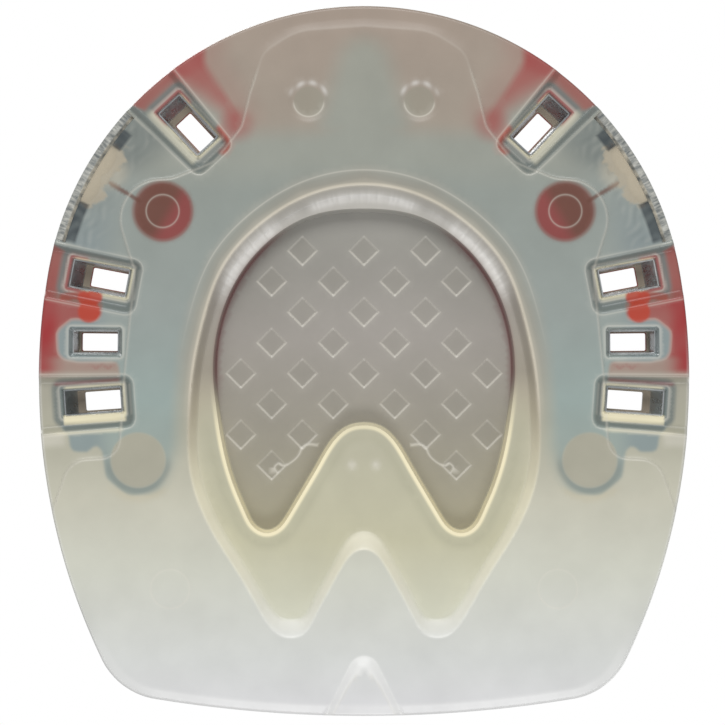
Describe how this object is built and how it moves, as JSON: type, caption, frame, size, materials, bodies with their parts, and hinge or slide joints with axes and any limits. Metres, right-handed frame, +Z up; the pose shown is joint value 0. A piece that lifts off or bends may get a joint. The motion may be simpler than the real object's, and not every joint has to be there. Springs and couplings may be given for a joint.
{
  "type": "composite horseshoe",
  "caption": "Closed-sole composite horseshoe: translucent plastic moulded over a steel core, with side clips, nail slots and a frog-shaped sole recess.",
  "frame": {"origin": "on the ground plane under the middle of the shoe's own box", "axes": "+Z up from the ground face to the hoof face, -Y towards the toe, +X across; mirror plane X = 0"},
  "size_m": [0.1306, 0.1424, 0.026],
  "materials": {
    "clear_plastic": "hazy translucent urethane, satin with moulding marks",
    "zinc_steel": "bluish bright zinc plating, sheared edges",
    "weld_metal": "rough pale weld bead under zinc",
    "red_plastic": "soft red urethane"
  },
  "bodies": {
    "root": {"sole_body": "clear_plastic", "steel_core": "zinc_steel", "side_clip_left": "zinc_steel", "side_clip_right": "zinc_steel", "clip_weld_left": "weld_metal", "clip_weld_right": "weld_metal", "quarter_cushion_left": "red_plastic", "quarter_cushion_right": "red_plastic"}
  },
  "joints": []
}
